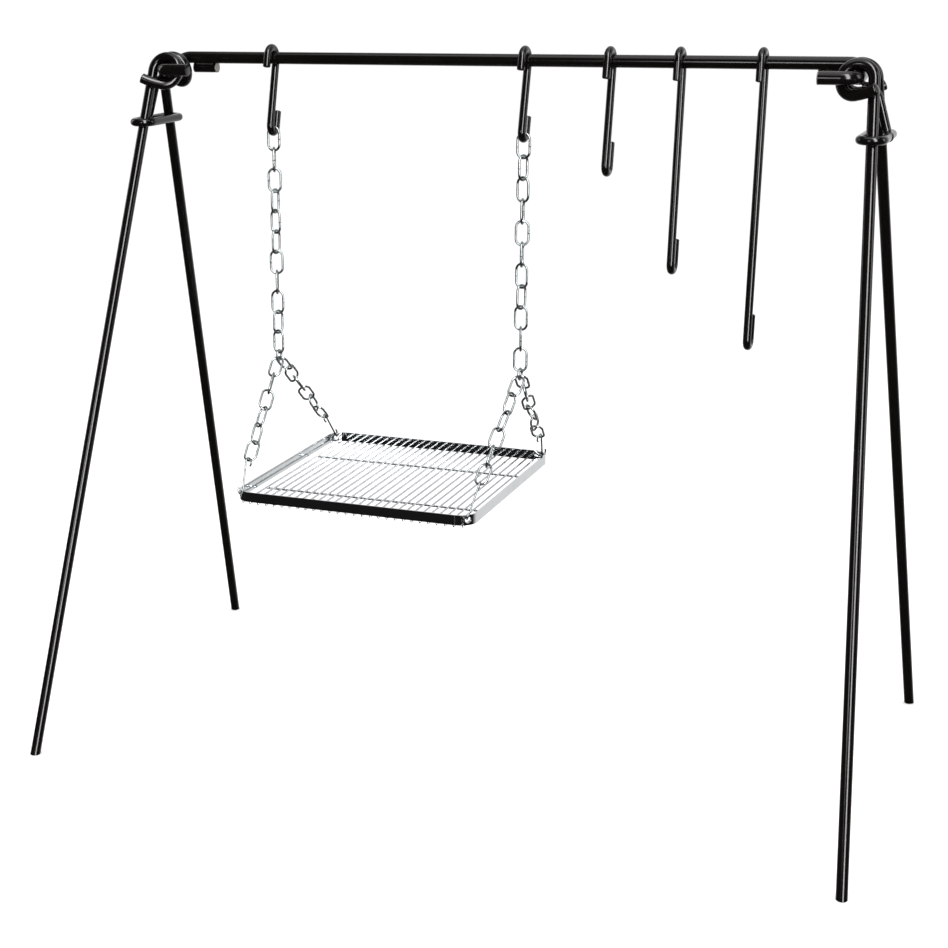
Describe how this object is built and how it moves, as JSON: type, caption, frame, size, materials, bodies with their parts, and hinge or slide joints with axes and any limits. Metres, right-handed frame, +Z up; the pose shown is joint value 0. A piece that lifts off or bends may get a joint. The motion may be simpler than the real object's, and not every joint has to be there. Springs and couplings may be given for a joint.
{
  "type": "campfire cooking bridge",
  "caption": "Round bar on folding splayed rod legs, with sliding S-hooks for pots and a square wire grate hung on chains over a campfire.",
  "frame": {"origin": "on the ground, midway between the four feet", "axes": "+X along the crossbar towards the pot hooks, +Y away from the viewer, +Z up"},
  "size_m": [0.9704, 0.5594, 0.8223],
  "materials": {
    "black_coat": "semi-gloss black coat on steel rod",
    "zinc": "bright zinc plating",
    "bright_steel": "bright polished steel"
  },
  "bodies": {
    "stand": {"crossbar": "black_coat", "left_stop": "black_coat", "right_stop": "black_coat", "left_brace": "black_coat", "right_brace": "black_coat"},
    "left_front_leg": {"left_front_leg": "black_coat"},
    "left_rear_leg": {"left_rear_leg": "black_coat"},
    "right_front_leg": {"right_front_leg": "black_coat"},
    "right_rear_leg": {"right_rear_leg": "black_coat"},
    "pot_hook_a": {"pot_hook_a": "black_coat"},
    "pot_hook_b": {"pot_hook_b": "black_coat"},
    "pot_hook_c": {"pot_hook_c": "black_coat"},
    "hangers": {"left_short_hook": "black_coat", "right_short_hook": "black_coat"},
    "chains": {"left_chain": "zinc", "right_chain": "zinc"},
    "grate": {"left_front_branch": "zinc", "left_rear_branch": "zinc", "right_front_branch": "zinc", "right_rear_branch": "zinc", "left_front_clip": "zinc", "left_rear_clip": "zinc", "right_front_clip": "zinc", "right_rear_clip": "zinc", "grate_band": "bright_steel", "grate_wires": "bright_steel", "cross_wires": "bright_steel"}
  },
  "joints": [
    {"name": "left_front_leg_fold", "type": "hinge", "parent": "stand", "child": "left_front_leg", "pos_m": [-0.403, -0.01175, 0.79466], "axis": [1, 0, 0], "range_deg": [0, 15]},
    {"name": "left_rear_leg_fold", "type": "hinge", "parent": "stand", "child": "left_rear_leg", "pos_m": [-0.403, 0.01175, 0.79466], "axis": [-1, 0, 0], "range_deg": [0, 15]},
    {"name": "right_front_leg_fold", "type": "hinge", "parent": "stand", "child": "right_front_leg", "pos_m": [0.403, -0.01175, 0.79466], "axis": [1, 0, 0], "range_deg": [0, 15]},
    {"name": "right_rear_leg_fold", "type": "hinge", "parent": "stand", "child": "right_rear_leg", "pos_m": [0.403, 0.01175, 0.79466], "axis": [-1, 0, 0], "range_deg": [0, 15]},
    {"name": "pot_hook_a_slide", "type": "slide", "parent": "stand", "child": "pot_hook_a", "axis": [1, 0, 0], "range_m": [-0.025, 0.025]},
    {"name": "pot_hook_b_slide", "type": "slide", "parent": "stand", "child": "pot_hook_b", "axis": [1, 0, 0], "range_m": [-0.025, 0.025]},
    {"name": "pot_hook_c_slide", "type": "slide", "parent": "stand", "child": "pot_hook_c", "axis": [1, 0, 0], "range_m": [-0.035, 0.035]},
    {"name": "hanger_slide", "type": "slide", "parent": "stand", "child": "hangers", "axis": [1, 0, 0], "range_m": [-0.05, 0.05]},
    {"name": "chain_swing", "type": "hinge", "parent": "hangers", "child": "chains", "pos_m": [-0.124, 0.0281, 0.7275], "axis": [1, 0, 0], "range_deg": [-15, 15]},
    {"name": "grate_swing", "type": "hinge", "parent": "chains", "child": "grate", "pos_m": [-0.124, 0.0281, 0.4464], "axis": [1, 0, 0], "range_deg": [-10, 10]}
  ]
}
